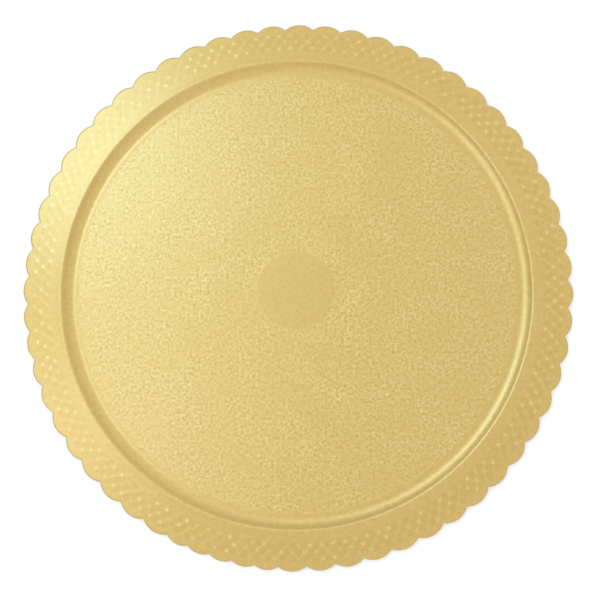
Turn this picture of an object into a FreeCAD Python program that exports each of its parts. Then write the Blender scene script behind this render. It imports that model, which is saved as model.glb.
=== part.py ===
import FreeCAD, Part
import math
import os

# A round cake board of laminated paperboard, with a raised ring and a scalloped edge.
# Its sheets were glued together flat and then pressed and cut out as one, so each sheet
# has the same section, one above the other, and the same outline.
# Millimetres and degrees. +Z is up, and the origin is the middle of the underside, where
# the board rests. Seen from above, +X is to the right and -Y is the near side.

# Outline. The cutter is a steel strip bent into lobes. They are even but for a run of
# narrow ones where the ends of the strip meet. Directions are anticlockwise from +X.
TIP_RADIUS = 150.0        # to the tips of the lobes, for a board 300 mm across
LOBE_COUNT = 61
LOBE_DEPTH = 2.8          # from a wide lobe's tip in to the notch beside it
FIRST_NOTCH = 2.66        # direction of the notch that the others are counted from
NARROW_COUNT = 5
NARROW_FROM = 40          # the notch where the run of narrow lobes begins
NARROW_PITCH = 4.84       # from notch to notch of a narrow lobe
WIDE_PITCH = (360.0 - NARROW_COUNT * NARROW_PITCH) / (LOBE_COUNT - NARROW_COUNT)
DRIFT = 0.58              # the cutter sits off the middle, so its notches drift by this much
DRIFT_PEAK = -157.5       # direction where they drift furthest anticlockwise

# Section, from the middle outwards
WELL_RADIUS = 121.2       # the flat that a cake stands on ends here
WALL_SLOPE = 36.0         # of the wall that climbs from the flat to the crest of the ring
FOOT_BEND = 9.5           # radius of the bend from the flat into the wall
CREST_BEND = 2.2          # radius of the bend over the crest
CREST_HEIGHT = 2.8        # of the crest over the flat
SHOULDER_SLOPE = -6.0     # of the short fall outside the crest
SHOULDER_WIDTH = 0.8
RIM_BEND = 120.0          # radius of the bend from the shoulder into the rim
RIM_SLOPE = -3.5          # of the rim, falling gently to the edge

# Sheets, from the underside up, with the thickness of each
SHEETS = (
    ("back_paper", 0.20),
    ("bottom_core_ply", 0.50),
    ("middle_core_ply", 0.50),
    ("top_core_ply", 0.50),
    ("face_paper", 0.18),
    ("gold_film", 0.12),
)

CUT_MARGIN = 2.0          # how far the sheets reach past the cutter before they are cut


class SectionLine:
    """The line of one sheet's face, drawn in the X-Z plane from the axis outwards."""

    def __init__(self, height):
        self.point = FreeCAD.Vector(0, 0, height)
        self.heading = 0.0
        self.edges = []

    def add(self, edge, end):
        self.edges.append(edge.toShape())
        self.point = end

    def straight(self, run):
        """A straight stretch that moves outwards by run along the heading."""
        rise = run * math.tan(math.radians(self.heading))
        end = self.point + FreeCAD.Vector(run, 0, rise)
        self.add(Part.LineSegment(self.point, end), end)

    def bend(self, radius, heading):
        """An arc that turns smoothly from the present heading to a new one."""
        side = math.copysign(radius, heading - self.heading)
        centre = self.point + left_of(self.heading) * side
        middle = centre - left_of((self.heading + heading) / 2) * side
        end = centre - left_of(heading) * side
        self.add(Part.Arc(self.point, middle, end), end)
        self.heading = heading


def left_of(heading):
    """The unit vector to the left of a heading in the X-Z plane."""
    angle = math.radians(heading)
    return FreeCAD.Vector(-math.sin(angle), 0, math.cos(angle))


def wall_run():
    """How far the straight stretch of the wall moves outwards to reach the crest's height."""
    slope = math.radians(WALL_SLOPE)
    bends_rise = (FOOT_BEND + CREST_BEND) * (1 - math.cos(slope))
    return (CREST_HEIGHT - bends_rise) / math.tan(slope)


def face_line(height):
    """The section line of a face that is at this height in the middle of the board."""
    line = SectionLine(height)
    line.straight(WELL_RADIUS)
    line.bend(FOOT_BEND, WALL_SLOPE)
    line.straight(wall_run())
    line.bend(CREST_BEND, SHOULDER_SLOPE)
    line.straight(SHOULDER_WIDTH)
    line.bend(RIM_BEND, RIM_SLOPE)
    line.straight(TIP_RADIUS + CUT_MARGIN - line.point.x)
    return line


def uncut_sheet(bottom, thickness):
    """A pressed sheet before it is cut to the outline, as a solid of revolution."""
    lower = face_line(bottom)
    upper = face_line(bottom + thickness)
    on_axis = Part.LineSegment(FreeCAD.Vector(0, 0, bottom), FreeCAD.Vector(0, 0, bottom + thickness))
    outside = Part.LineSegment(lower.point, upper.point)
    edges = lower.edges + upper.edges + [on_axis.toShape(), outside.toShape()]
    section = Part.Face(Part.Wire(Part.sortEdges(edges)[0]))
    return section.revolve(FreeCAD.Vector(0, 0, 0), FreeCAD.Vector(0, 0, 1), 360)


def notch_direction(index):
    """The direction of a notch, counted round from the first one."""
    narrow = min(max(index - NARROW_FROM, 0), NARROW_COUNT)
    centred = FIRST_NOTCH + narrow * NARROW_PITCH + (index - narrow) * WIDE_PITCH
    return centred + DRIFT * math.cos(math.radians(centred - DRIFT_PEAK))


def notch_depth(index):
    """All lobes are bent to much the same curve, so the narrower they are, the shallower."""
    pitch = (notch_direction(index + 1) - notch_direction(index - 1)) / 2
    return LOBE_DEPTH * (pitch / WIDE_PITCH) ** 2


def polar(radius, direction):
    angle = math.radians(direction)
    return FreeCAD.Vector(radius * math.cos(angle), radius * math.sin(angle), 0)


def notch(index):
    return polar(TIP_RADIUS - notch_depth(index), notch_direction(index))


def tip(index):
    """The tip of the lobe between a notch and the next one."""
    return polar(TIP_RADIUS, (notch_direction(index) + notch_direction(index + 1)) / 2)


def cutter():
    """The scalloped outline as a prism through the whole board, with one arc for each lobe."""
    arcs = [Part.Arc(notch(index), tip(index), notch(index + 1)).toShape() for index in range(LOBE_COUNT)]
    outline = Part.Face(Part.Wire(arcs))
    board_thickness = sum(thickness for _, thickness in SHEETS)
    prism = outline.extrude(FreeCAD.Vector(0, 0, board_thickness + CREST_HEIGHT + 2 * CUT_MARGIN))
    prism.translate(FreeCAD.Vector(0, 0, -CUT_MARGIN))
    return prism


def main():
    os.makedirs("parts", exist_ok=True)
    outline = cutter()
    bottom = 0.0
    for name, thickness in SHEETS:
        sheet = uncut_sheet(bottom, thickness).common(outline).Solids[0]
        sheet.exportStep(f"parts/{name}.step")
        print(f"{name}: {sheet.Volume / 1000:.2f} cm3, valid {sheet.isValid()}")
        bottom += thickness


main()
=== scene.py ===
import math

import bpy
import numpy as np
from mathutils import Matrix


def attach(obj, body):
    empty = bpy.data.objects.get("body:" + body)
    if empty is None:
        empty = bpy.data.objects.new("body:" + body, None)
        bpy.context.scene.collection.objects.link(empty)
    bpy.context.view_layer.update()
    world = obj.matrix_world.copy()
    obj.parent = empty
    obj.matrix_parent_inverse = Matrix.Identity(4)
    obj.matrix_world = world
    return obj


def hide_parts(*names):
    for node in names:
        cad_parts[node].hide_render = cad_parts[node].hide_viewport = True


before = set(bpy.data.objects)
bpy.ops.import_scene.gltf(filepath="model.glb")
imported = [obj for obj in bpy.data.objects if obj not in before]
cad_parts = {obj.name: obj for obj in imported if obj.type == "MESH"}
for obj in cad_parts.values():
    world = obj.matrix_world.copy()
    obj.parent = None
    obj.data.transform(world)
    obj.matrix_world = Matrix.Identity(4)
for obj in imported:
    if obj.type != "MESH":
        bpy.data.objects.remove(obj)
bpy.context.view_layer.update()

# A round cake board of laminated paperboard, pressed and cut out in one stroke. Sizes are in
# millimetres and degrees, and meshes are turned to metres when they are made. The lamps and the
# table are in metres. MM is one millimetre in metres.
MM = 0.001

# Outline, as cut: lobes that meet in sharp notches, even but for a run of narrow ones where
# the ends of the cutter's steel strip meet. Directions are anticlockwise from +X.
TIP_RADIUS = 150.0
LOBE_COUNT = 61
LOBE_DEPTH = 2.8
FIRST_NOTCH = 2.66
NARROW_COUNT = 5
NARROW_FROM = 40
NARROW_PITCH = 4.84
WIDE_PITCH = (360.0 - NARROW_COUNT * NARROW_PITCH) / (LOBE_COUNT - NARROW_COUNT)
DRIFT = 0.58
DRIFT_PEAK = -157.5

# Section, as pressed, from the middle outwards
WELL_RADIUS = 121.2
WALL_SLOPE = 36.0
FOOT_BEND = 9.5
CREST_BEND = 2.2
CREST_HEIGHT = 2.8
SHOULDER_SLOPE = -6.0
SHOULDER_WIDTH = 0.8
RIM_BEND = 120.0
RIM_SLOPE = -3.5
BEND_STEPS = 24           # points along each bend of the section
PAST_TIP = 1.0            # how far the section runs past the tips of the lobes

# Sheets, from the underside up, with the thickness and the material slot of each
SHEETS = {
    "back_paper": (0.20, "white_paper"),
    "bottom_core_ply": (0.50, "greyboard"),
    "middle_core_ply": (0.50, "greyboard"),
    "top_core_ply": (0.50, "greyboard"),
    "face_paper": (0.18, "white_paper"),
    "gold_film": (0.12, "gold_film"),
}
BOARD_THICKNESS = sum(thickness for thickness, _ in SHEETS.values())

# Cut edge: the cutter drags the face down and leaves the cut leaning outwards
ROLL_WIDTH = 1.0
ROLL_DROP = 0.45
CUT_LEAN = 0.25

# Emboss of the face
ROUND_RADIUS = 21.3       # the smooth round in the middle
ROUND_HEIGHT = 0.05       # of the round over the grain, which is pressed down round it
BEAD_HEIGHT = 0.07        # of the smooth bead between the grain and the ring
BEAD_WIDTH = 2.6
GRAIN_RADIUS = 119.6      # the grain ends here, and the bead begins
GRAIN_PITCH = 1.5         # between pebbles
GRAIN_HEIGHT = 0.07
GRAIN_SHADE = 2.1         # how far the grain swings the colour towards FILM_LIGHT and away: painted highlight on the tops of the pebbles and painted shade in the pits
GRAIN_MEAN = 0.38         # where between the pits and the tops of the grain the colour is plain, with painted shade below and painted highlight above
ROUND_FADE = 0.8          # half the width over which the grain fades out at the smooth round
BEAD_FADE = 0.5           # and at the bead
LATTICE_COUNT = 140       # knots of the lattice in one turn
LATTICE_MIDDLE = 139.9    # radius of the middle row of knots
LATTICE_ROW = 3.7         # between one row of knots and the next
LATTICE_INNER = 134.2     # the lattice fades out inside this radius
LATTICE_OUTER = 145.0     # and outside this one
LATTICE_FADE = 0.6        # width of each fade
KNOT_HEIGHT = 0.09
KNOT_RADIUS = 0.9
KNOT_PRESS = np.random.default_rng(7).uniform(0.2, 1.2, (3, LATTICE_COUNT))
STRAND_HEIGHT = 0.02
STRAND_RADIUS = 0.6
STRAND_WEIGHTS = (1.3, 0.7)           # of every other strand, and of those between
STRAND_SETS = ((1, 1.0), (-1, 0.4))   # the way that each set leans, and how strongly it shows
LATTICE_MEAN = 0.15       # the lattice's mean height as a share of a knot's; the colour is painted darker below it and lighter above it
LATTICE_SHADE = 1.65      # how far the lattice swings the colour: painted highlight on the knots and strands, painted shade between them

# Rows of the meshes. Rows out to LAST_ROUND_ROW are circles, and the rest follow the lobes.
LAST_ROUND_ROW = 145.4
LEAD_ROWS = (1 / 3, 2 / 3)            # shares of the way from the last circle to the first lobed row
EDGE_ROWS = (1.2, 0.9, 0.65, 0.45)    # how far inside the outline the lobed rows run
PLAIN_FLAT_ROWS = (40.0, 80.0, 110.0)
PLAIN_BEND_SPACING = 0.6
PLAIN_RIM_ROWS = (133.0, 139.0)       # past the ring's tight bends, and amid the rim
FILM_FLAT_ROWS = (10.0, 20.3, 20.8, 21.3, 21.8, 22.3, 40.0, 60.0, 80.0, 100.0, 118.0)
FILM_BEND_SPACING = 0.42
FILM_RIM_FROM = 133.6                 # from just inside the lattice
FILM_RIM_SPACING = 0.45
SHARP_ANGLE = 40.0                    # faces that meet at more than this have a sharp edge

# Gold film. The coat is the clear face of polyester, for which 1.65 is typical. It is taken
# higher here because the lacquered board mirrors the lamps more strongly than that.
# The film's colour swings between FILM_COLOUR and FILM_LIGHT, and beyond them, with a random mottle
# and with painted highlight and shade: lighter on the tops of the grain and on the lattice's knots and
# strands, darker in the pits and between the knots.
FILM_COLOUR = "#E9C35F"
FILM_LIGHT = "#F6DC84"
FILM_METALLIC = 0.6       # not all metal, since the lacquer shows some colour of its own
SMOOTH_ROUGHNESS = 0.40
GRAIN_ROUGHNESS = 0.44
COAT_ROUGHNESS = 0.27
COAT_IOR = 1.9

# Paper and greyboard, each with the colour of its deeper fibres, darkened as painted shade, and of its
# shallower ones
PAPER_COLOURS = ("#E6E2D6", "#F2EFE6")
PAPER_FIBRE = 0.8         # between fibres, drawn coarser than real ones so that they show
PAPER_TOOTH = 0.03
BOARD_COLOURS = ("#6E6857", "#A49D88")
BOARD_FIBRE = 1.2         # drawn coarser too
BOARD_TOOTH = 0.08
BOARD_LAYERS = 5          # how many times closer the fibres lie through the board than along it

# The photograph's camera, worked out from the ellipse of the outline and the middle of the round
CAMERA_PLACE = (29.8, -67.6, 538.85)
CAMERA_TURN = (6.609, 2.826, 0.357)
CAMERA_LENS = 59.62
FRAME_WIDTH = 36.0        # of the camera's picture, which the lens is for

# Studio. A level of 1 is white. A direction is a unit vector, and TENT_RISE and TENT_SLOPES give
# a part of it, the stretch where the tent's level changes and the level at each end of that.
TENT_RISE = ("Z", 0.3, 0.95, 0.46, 0.705)
TENT_SLOPES = (
    ("X", -0.10, 0.30, -0.02, 0.10),      # brighter towards the right
    ("Y", -0.10, 0.40, -0.055, 0.09),     # and towards the far end
    ("Y", -0.10, -1.0, 0.0, 0.25),        # and again towards the near end
)
SOFTBOXES = {             # place, size, watts and colour
    "key_softbox": ((-0.50, 0.42, 1.10), (0.46, 0.46), 2.0, "#C4F0FF"),
    "fill_softbox": ((-0.58, -0.17, 1.10), (0.26, 0.78), 1.05, "#F0FAFF"),
}
TABLE_COLOUR = "#F4F4F4"
TABLE_LIFT = 0.36         # light of the table's own, which takes it to white for the camera
TABLE_REACH = 3.0         # from the middle to each side
TABLE_DROP = 0.00002      # how far it is under the board

# The Mix node's sockets for colours
MIX_FACTOR, MIX_A, MIX_B, MIX_RESULT = 0, 6, 7, 2


def linear(hex_colour):
    """An sRGB hex colour as linear red, green, blue and a full alpha."""
    parts = [int(hex_colour[i:i + 2], 16) / 255 for i in (1, 3, 5)]
    levels = [part / 12.92 if part <= 0.04045 else ((part + 0.055) / 1.055) ** 2.4 for part in parts]
    return (*levels, 1.0)


def add_node(tree, kind, inputs=(), **settings):
    """Adds a node with its settings. Its inputs are a dict by name or number, or a tuple in
    order, and each one is a value or the socket that feeds it."""
    node = tree.nodes.new(kind)
    for name, value in settings.items():
        setattr(node, name, value)
    pairs = inputs.items() if isinstance(inputs, dict) else enumerate(inputs)
    for key, value in pairs:
        if isinstance(value, bpy.types.NodeSocket):
            tree.links.new(value, node.inputs[key])
        else:
            node.inputs[key].default_value = value
    return node


def new_material(name, finish):
    """A material with one shader, whose inputs are worked out by the finish's own function."""
    material = bpy.data.materials.new(name)
    material.use_nodes = True
    tree = material.node_tree
    tree.nodes.clear()
    shader = add_node(tree, "ShaderNodeBsdfPrincipled", finish(tree))
    add_node(tree, "ShaderNodeOutputMaterial", {"Surface": shader.outputs["BSDF"]})
    return material


# Section


def section_line():
    """The pressed section as dense points of radius and height over the flat."""
    radii, heights, heading = [0.0, WELL_RADIUS], [0.0, 0.0], 0.0

    def bend(radius, new_heading):
        turn = np.radians(np.linspace(heading, new_heading, BEND_STEPS)[1:])
        side = math.copysign(radius, new_heading - heading)
        start = math.radians(heading)
        from_radius, from_height = radii[-1], heights[-1]
        radii.extend(from_radius + side * (np.sin(turn) - math.sin(start)))
        heights.extend(from_height - side * (np.cos(turn) - math.cos(start)))
        return new_heading

    def straight(run):
        radii.append(radii[-1] + run)
        heights.append(heights[-1] + run * math.tan(math.radians(heading)))

    slope = math.radians(WALL_SLOPE)
    bends_rise = (FOOT_BEND + CREST_BEND) * (1 - math.cos(slope))
    heading = bend(FOOT_BEND, WALL_SLOPE)
    straight((CREST_HEIGHT - bends_rise) / math.tan(slope))
    heading = bend(CREST_BEND, SHOULDER_SLOPE)
    straight(SHOULDER_WIDTH)
    heading = bend(RIM_BEND, RIM_SLOPE)
    straight(TIP_RADIUS + PAST_TIP - radii[-1])
    return np.array(radii), np.array(heights)


SECTION = section_line()


def pressed_height(radius):
    return np.interp(radius, *SECTION)


# Outline


def notch_direction(index):
    """The direction of a notch, counted round from the first one."""
    narrow = min(max(index - NARROW_FROM, 0), NARROW_COUNT)
    centred = FIRST_NOTCH + narrow * NARROW_PITCH + (index - narrow) * WIDE_PITCH
    return centred + DRIFT * math.cos(math.radians(centred - DRIFT_PEAK))


def polar(radius, degrees):
    angle = math.radians(degrees)
    return np.array([radius * math.cos(angle), radius * math.sin(angle)])


def notch(index):
    """Narrow lobes are bent to much the same curve as wide ones, so they are shallower."""
    pitch = (notch_direction(index + 1) - notch_direction(index - 1)) / 2
    return polar(TIP_RADIUS - LOBE_DEPTH * (pitch / WIDE_PITCH) ** 2, notch_direction(index))


def circle_through(a, b, c):
    """Centre and radius of the circle through three points of the plane."""
    rows = np.array([b - a, c - a])
    centre = np.linalg.solve(2 * rows, [b @ b - a @ a, c @ c - a @ a])
    return centre, np.linalg.norm(centre - a)


def outline(steps):
    """The outline at this many steps in each lobe: directions, in radians, and radii."""
    angles, radii = [], []
    for lobe in range(LOBE_COUNT):
        first, last = notch_direction(lobe), notch_direction(lobe + 1)
        tip = polar(TIP_RADIUS, (first + last) / 2)
        centre, size = circle_through(notch(lobe), tip, notch(lobe + 1))
        for step in range(steps):
            angle = math.radians(first + (last - first) * step / steps)
            along = centre @ np.array([math.cos(angle), math.sin(angle)])
            angles.append(angle)
            radii.append(along + math.sqrt(along ** 2 - centre @ centre + size ** 2))
    return np.array(angles), np.array(radii)


# The outline by its steps in each lobe, which double from the middle of a mesh to its edge
OUTLINES = {steps: outline(steps) for steps in (3, 6, 12, 24)}


# Emboss


def lattice(radius, angle):
    """The rim's lattice: two sets of crossing strands, with a round knot at each crossing, some
    pressed harder than others. Gives its height and the swing of its colour, as shares of a knot's
    height. The swing is painted highlight on the knots and strands and painted shade between them."""
    turn = angle * LATTICE_COUNT / (2 * math.pi)
    row = (radius - LATTICE_MIDDLE) / LATTICE_ROW
    width = 2 * math.pi * radius / LATTICE_COUNT
    lean = np.cos(np.arctan2(width / 2, LATTICE_ROW))
    strands = np.zeros_like(radius)
    for side, depth in STRAND_SETS:
        place = turn + side * row / 2
        off = (place - np.round(place)) * width * lean
        weight = np.where(np.round(place) % 2 == 0, *STRAND_WEIGHTS)
        strands = np.maximum(strands, depth * weight * np.exp(-(off / STRAND_RADIUS) ** 2))
    near_row = np.clip(np.round(row), -1, 1)
    near_knot = np.round(turn - (near_row % 2) / 2)
    across = (turn - (near_row % 2) / 2 - near_knot) * width
    along = (row - near_row) * LATTICE_ROW
    press = KNOT_PRESS[near_row.astype(int), near_knot.astype(int) % LATTICE_COUNT]
    knots = press * np.exp(-(across ** 2 + along ** 2) / KNOT_RADIUS ** 2)
    inner = np.clip((radius - LATTICE_INNER) / LATTICE_FADE + 0.5, 0, 1)
    outer = np.clip((LATTICE_OUTER - radius) / LATTICE_FADE + 0.5, 0, 1)
    raised = np.maximum(STRAND_HEIGHT / KNOT_HEIGHT * strands, knots)
    return inner * outer * raised, inner * outer * (raised - LATTICE_MEAN)


def stamped(radius, angle):
    """The face's emboss, in millimetres, and how much of it the colour shows as painted highlight and
    painted shade: the smooth round and the bead inside the ring, which stand over the grain, and the
    rim's lattice."""
    knots, relief = lattice(radius, angle)
    smooth_round = ROUND_HEIGHT * np.clip(ROUND_RADIUS + 0.5 - radius, 0, 1)
    across = (radius - GRAIN_RADIUS) / BEAD_WIDTH
    bead = BEAD_HEIGHT * np.where((across > 0) & (across < 1), np.sin(np.pi * across), 0)
    return KNOT_HEIGHT * knots + smooth_round + bead, relief


def unstamped(radius, angle):
    """No emboss, for the sheets under the film and the underside of each."""
    return np.zeros_like(radius), np.zeros_like(radius)


def rolled(distance):
    """How far the cutter has dragged a sheet down at this distance inside the outline."""
    return ROLL_DROP * np.clip(1 - distance / ROLL_WIDTH, 0, 1) ** 2


# Sheets


class SheetMesh:
    """A sheet's mesh, put together from closed rows of points round the middle."""

    def __init__(self):
        self.points = []
        self.faces = []
        self.emboss = []

    def row(self, angles, radii, heights, stamp):
        """Adds a row, raised by its stamp's emboss, and returns the numbers of its points."""
        first = len(self.points)
        raised, relief = stamp(radii, angles)
        heights = (heights + raised) * MM
        self.points.extend(zip(radii * np.cos(angles) * MM, radii * np.sin(angles) * MM, heights))
        self.emboss.extend(relief)
        return range(first, len(self.points))

    def join(self, inner, outer, up=True):
        """Fills between two rows. The outer one has as many points as the inner one, or twice."""
        share = len(outer) // len(inner)
        for i, near in enumerate(inner):
            far = [outer[(i * share + k) % len(outer)] for k in range(share + 1)]
            next_near = inner[(i + 1) % len(inner)]
            if share == 1:
                made = [(near, far[0], far[1], next_near)]
            else:
                made = [(near, far[0], far[1]), (near, far[1], next_near), (next_near, far[1], far[2])]
            self.faces.extend(made if up else [face[::-1] for face in made])

    def cap(self, row, up=True):
        """Closes the middle with a fan round one point, level with the row."""
        middle = len(self.points)
        self.points.append((0.0, 0.0, self.points[row[0]][2]))
        self.emboss.append(0.0)
        for i, near in enumerate(row):
            face = (middle, near, row[(i + 1) % len(row)])
            self.faces.append(face if up else face[::-1])

    def piece(self, name, material):
        """The finished object, smooth but for its sharp cut edges. Its emboss is kept with it for the
        material, which paints highlight and shade into the colour from it."""
        mesh = bpy.data.meshes.new(name)
        mesh.from_pydata(self.points, [], self.faces)
        mesh.shade_smooth()
        mesh.set_sharp_from_angle(angle=math.radians(SHARP_ANGLE))
        mesh.attributes.new("emboss", "FLOAT", "POINT").data.foreach_set("value", self.emboss)
        mesh.materials.append(material)
        made = bpy.data.objects.new(name, mesh)
        bpy.context.collection.objects.link(made)
        return made


def spaced(first, last, spacing):
    """Even values from first up to last, without it, at about this spacing."""
    count = max(1, round((last - first) / spacing))
    return [first + (last - first) * i / count for i in range(count)]


def plain_rows():
    """Rows for a face with no emboss, as radius and steps in each lobe: few on the flat, more in
    the bends of the ring."""
    past_bends, amid_rim = PLAIN_RIM_ROWS
    rows = [(radius, 3) for radius in PLAIN_FLAT_ROWS]
    rows += [(radius, 6) for radius in spaced(WELL_RADIUS, past_bends, PLAIN_BEND_SPACING)]
    return rows + [(past_bends, 6), (amid_rim, 12), (LAST_ROUND_ROW, 12)]


def film_rows():
    """Rows for the film, fine enough for the ring's bends and the rim's lattice."""
    rows = [(radius, 6) for radius in FILM_FLAT_ROWS]
    rows += [(radius, 12) for radius in spaced(GRAIN_RADIUS, FILM_RIM_FROM, FILM_BEND_SPACING)]
    rows += [(radius, 24) for radius in spaced(FILM_RIM_FROM, LAST_ROUND_ROW, FILM_RIM_SPACING)]
    return rows + [(LAST_ROUND_ROW, 24)]


def add_face(mesh, height, rows, stamp, inset, up):
    """Adds one face of a sheet, from the middle out to its cut edge, which is this far inside the
    outline. Returns the row along that edge."""
    last = None
    for radius, steps in rows:
        angles, edge = OUTLINES[steps]
        radii = np.full_like(angles, radius)
        row = mesh.row(angles, radii, height + pressed_height(radii), stamp)
        if last is None:
            mesh.cap(row, up)
        else:
            mesh.join(last, row, up)
        last = row
    first_edge = edge - EDGE_ROWS[0]
    follow = [LAST_ROUND_ROW + (first_edge - LAST_ROUND_ROW) * share for share in LEAD_ROWS]
    follow += [edge - distance for distance in (*EDGE_ROWS, inset)]
    for radii in follow:
        row = mesh.row(angles, radii, height + pressed_height(radii) - rolled(edge - radii), stamp)
        mesh.join(last, row, up)
        last = row
    return last


def sheet(name, bottom, thickness, rows, stamp, material):
    """One closed sheet, whose cut edge leans with the cut through the whole board."""
    mesh = SheetMesh()
    top = bottom + thickness
    above = add_face(mesh, top, rows, stamp, CUT_LEAN * top / BOARD_THICKNESS, True)
    below = add_face(mesh, bottom, plain_rows(), unstamped, CUT_LEAN * bottom / BOARD_THICKNESS, False)
    mesh.join(below, above, False)
    return mesh.piece(name, material)


# Materials


def gold_film(tree):
    """Metallised polyester film, lacquered gold and embossed: satin, with a glint on every grain, from
    its bumps and from painted highlight on its tops, and painted shade in its pits.
    """
    place = add_node(tree, "ShaderNodeTexCoord").outputs["Object"]
    plan = add_node(tree, "ShaderNodeVectorMath", (place, (1, 1, 0)), operation="MULTIPLY").outputs[0]
    radius = add_node(tree, "ShaderNodeVectorMath", (plan,), operation="LENGTH").outputs["Value"]

    # Each pattern has its pitch in millimetres, its detail, how far its noise strays from the
    # middle, and the levels that this is stretched to. The stamp has pressed harder in some
    # patches than in others. The grain is fine rounded pebbles, with painted highlight on their tops
    # and painted shade in the pits between them. The lacquer is mottled, since it is never quite even.
    levels = []
    for pitch, detail, stray, low, high in (
        (22.0, 3.0, 0.18, 0.45, 1.15),
        (GRAIN_PITCH, 3.5, 0.2, -GRAIN_MEAN, 1 - GRAIN_MEAN),
        (2.2, 2.0, 0.2, -0.25, 0.25),
    ):
        inputs = {"Vector": plan, "Scale": 1 / (pitch * MM), "Detail": detail}
        noise = add_node(tree, "ShaderNodeTexNoise", inputs).outputs["Fac"]
        stretch = (noise, 0.5 - stray, 0.5 + stray, low, high)
        levels.append(add_node(tree, "ShaderNodeMapRange", stretch).outputs[0])
    pressed, pebbles, mottle = levels

    # The grain fades out at the smooth round and at the bead
    for bare, grained in (
        (ROUND_RADIUS - ROUND_FADE, ROUND_RADIUS + ROUND_FADE),
        (GRAIN_RADIUS + BEAD_FADE, GRAIN_RADIUS - BEAD_FADE),
    ):
        share = add_node(tree, "ShaderNodeMapRange", (radius, bare * MM, grained * MM)).outputs[0]
        pressed = add_node(tree, "ShaderNodeMath", (pressed, share), operation="MULTIPLY").outputs[0]
    grain = add_node(tree, "ShaderNodeMath", (pebbles, pressed), operation="MULTIPLY").outputs[0]
    # Grained film scatters the light a little more than smooth film does
    scatter = (pressed, 0.0, 1.0, SMOOTH_ROUGHNESS, GRAIN_ROUGHNESS)
    roughness = add_node(tree, "ShaderNodeMapRange", scatter).outputs[0]

    embossed = add_node(tree, "ShaderNodeAttribute", attribute_name="emboss").outputs["Fac"]
    # The colour is the random mottle plus painted highlight and painted shade from the grain and the
    # lattice's relief: lighter on the tops and knots, darker in the pits and between the knots.
    shade = mottle
    for relief, swing in ((grain, GRAIN_SHADE), (embossed, LATTICE_SHADE)):
        added = (relief, swing, shade)
        shade = add_node(tree, "ShaderNodeMath", added, operation="MULTIPLY_ADD").outputs[0]
    colours = {MIX_FACTOR: shade, MIX_A: linear(FILM_COLOUR), MIX_B: linear(FILM_LIGHT)}
    mixed = add_node(tree, "ShaderNodeMix", colours, data_type="RGBA", clamp_factor=False)

    # Under the grain, film on paper is never quite flat: long soft waves and a fine tooth, with
    # the pitch, detail and height of each
    bumps = []
    for pitch, detail, height in ((11.0, 1.0, 0.05), (1.6, 3.0, 0.02)):
        inputs = {"Vector": place, "Scale": 1 / (pitch * MM), "Detail": detail}
        bumps.append((add_node(tree, "ShaderNodeTexNoise", inputs).outputs["Fac"], height))
    normal = None
    for relief, height in (*bumps, (grain, GRAIN_HEIGHT)):
        inputs = {"Height": relief, "Distance": height * MM}
        if normal:
            inputs["Normal"] = normal
        normal = add_node(tree, "ShaderNodeBump", inputs).outputs["Normal"]
    return {
        "Base Color": mixed.outputs[MIX_RESULT],
        "Metallic": FILM_METALLIC,
        "Roughness": roughness,
        "Normal": normal,
        "Coat Weight": 1.0,
        "Coat Roughness": COAT_ROUGHNESS,
        "Coat IOR": COAT_IOR,
        "Coat Normal": normal,
    }


def fibres(tree, inputs, colours, tooth):
    """The colour and the relief of fibres, which are darker where they lie deeper: the darkening of
    the deeper fibres is painted shade.
    """
    noise = add_node(tree, "ShaderNodeTexNoise", inputs).outputs["Fac"]
    deep, shallow = (linear(colour) for colour in colours)
    depths = {MIX_FACTOR: noise, MIX_A: deep, MIX_B: shallow}
    mixed = add_node(tree, "ShaderNodeMix", depths, data_type="RGBA")
    bump = add_node(tree, "ShaderNodeBump", {"Height": noise, "Distance": tooth * MM})
    return {"Base Color": mixed.outputs[MIX_RESULT], "Normal": bump.outputs["Normal"]}


def lining_paper(tree):
    """White lining paper, uncoated: matt, with a faint fibre."""
    place = add_node(tree, "ShaderNodeTexCoord").outputs["Object"]
    scale = 1 / (PAPER_FIBRE * MM)
    inputs = {"Vector": place, "Scale": scale, "Detail": 5.0, "Distortion": 1.5}
    return {"Roughness": 0.85, **fibres(tree, inputs, PAPER_COLOURS, PAPER_TOOTH)}


def greyboard(tree):
    """Greyboard of recycled fibre, cut through: matt grey-brown, with fibres along the cut."""
    place = add_node(tree, "ShaderNodeTexCoord").outputs["Object"]
    stretch = (place, (1, 1, BOARD_LAYERS))
    along = add_node(tree, "ShaderNodeVectorMath", stretch, operation="MULTIPLY").outputs[0]
    scale = 1 / (BOARD_FIBRE * MM)
    inputs = {"Vector": along, "Scale": scale, "Detail": 6.0, "Roughness": 0.7}
    return {"Roughness": 0.95, **fibres(tree, inputs, BOARD_COLOURS, BOARD_TOOTH)}


def white_table(tree):
    """A matt white table top, which shows white but for the board's shadow."""
    rays = add_node(tree, "ShaderNodeLightPath").outputs
    seen = rays["Is Camera Ray"]
    for ray in ("Is Glossy Ray", "Is Transmission Ray"):
        seen = add_node(tree, "ShaderNodeMath", (seen, rays[ray]), operation="MAXIMUM").outputs[0]
    lift = add_node(tree, "ShaderNodeMath", (seen, TABLE_LIFT), operation="MULTIPLY").outputs[0]
    return {
        "Base Color": linear(TABLE_COLOUR),
        "Roughness": 0.9,
        "Emission Color": linear("#FFFFFF"),
        "Emission Strength": lift,
    }


# The board


def board():
    """All the sheets, from the underside up, as they were glued together."""
    materials = {
        "white_paper": new_material("uncoated_white_paper", lining_paper),
        "greyboard": new_material("cut_greyboard", greyboard),
        "gold_film": new_material("metallised_gold_film", gold_film),
    }
    bottom = 0.0
    for node, (thickness, slot) in SHEETS.items():
        is_film = node == "gold_film"
        rows = film_rows() if is_film else plain_rows()
        stamp = stamped if is_film else unstamped
        made = sheet(node + "_sheet", bottom, thickness, rows, stamp, materials[slot])
        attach(made, "root")
        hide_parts(node)
        bottom += thickness


# Studio


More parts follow.
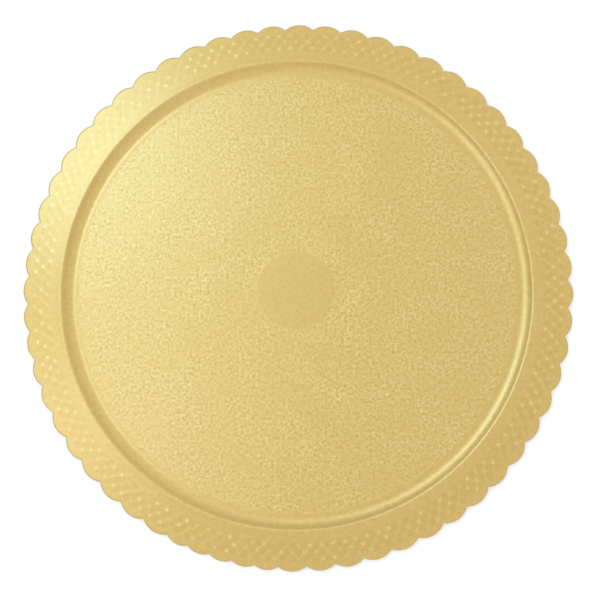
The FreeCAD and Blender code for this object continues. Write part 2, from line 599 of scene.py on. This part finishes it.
def camera():
    """The photograph's camera, almost straight above the board."""
    data = bpy.data.cameras.new("camera")
    data.lens = CAMERA_LENS
    data.sensor_width = FRAME_WIDTH
    made = bpy.data.objects.new("camera", data)
    made.location = [value * MM for value in CAMERA_PLACE]
    made.rotation_euler = [math.radians(value) for value in CAMERA_TURN]
    bpy.context.collection.objects.link(made)
    bpy.context.scene.camera = made


def tent():
    """A white tent all round, dimmer low down and uneven from side to side and end to end."""
    world = bpy.data.worlds.new("white_tent")
    world.use_nodes = True
    tree = world.node_tree
    tree.nodes.clear()
    direction = add_node(tree, "ShaderNodeTexCoord").outputs["Generated"]
    parts = add_node(tree, "ShaderNodeSeparateXYZ", (direction,)).outputs
    part, *rise = TENT_RISE
    inputs = (parts[part], *rise)
    level = add_node(tree, "ShaderNodeMapRange", inputs, interpolation_type="SMOOTHSTEP").outputs[0]
    for part, *slope in TENT_SLOPES:
        added = add_node(tree, "ShaderNodeMapRange", (parts[part], *slope)).outputs[0]
        level = add_node(tree, "ShaderNodeMath", (level, added), operation="ADD").outputs[0]
    cloth = add_node(tree, "ShaderNodeBackground", {"Color": linear("#FFFFFF"), "Strength": level})
    add_node(tree, "ShaderNodeOutputWorld", {"Surface": cloth.outputs[0]})
    bpy.context.scene.world = world


def softboxes():
    """Two rectangular lamps to the left that face the middle of the board: a cool key on the far
    side, and a longer, nearly white fill on the near side."""
    for name, (place, size, watts, colour) in SOFTBOXES.items():
        lamp = bpy.data.lights.new(name, "AREA")
        lamp.shape = "RECTANGLE"
        lamp.size, lamp.size_y = size
        lamp.energy = watts
        lamp.color = linear(colour)[:3]
        made = bpy.data.objects.new(name, lamp)
        made.location = place
        made.rotation_mode = "QUATERNION"
        made.rotation_quaternion = made.location.to_track_quat("Z", "Y")
        made.visible_camera = False
        bpy.context.collection.objects.link(made)


def table():
    """The plain pale table that the board lies on."""
    mesh = bpy.data.meshes.new("table")
    corners = [(x * TABLE_REACH, y * TABLE_REACH, 0) for x, y in ((-1, -1), (1, -1), (1, 1), (-1, 1))]
    mesh.from_pydata(corners, [], [(0, 1, 2, 3)])
    mesh.materials.append(new_material("white_table", white_table))
    made = bpy.data.objects.new("table", mesh)
    made.location.z = -TABLE_DROP
    bpy.context.collection.objects.link(made)


bpy.context.scene.view_settings.view_transform = "Standard"
camera()
tent()
softboxes()
table()
board()
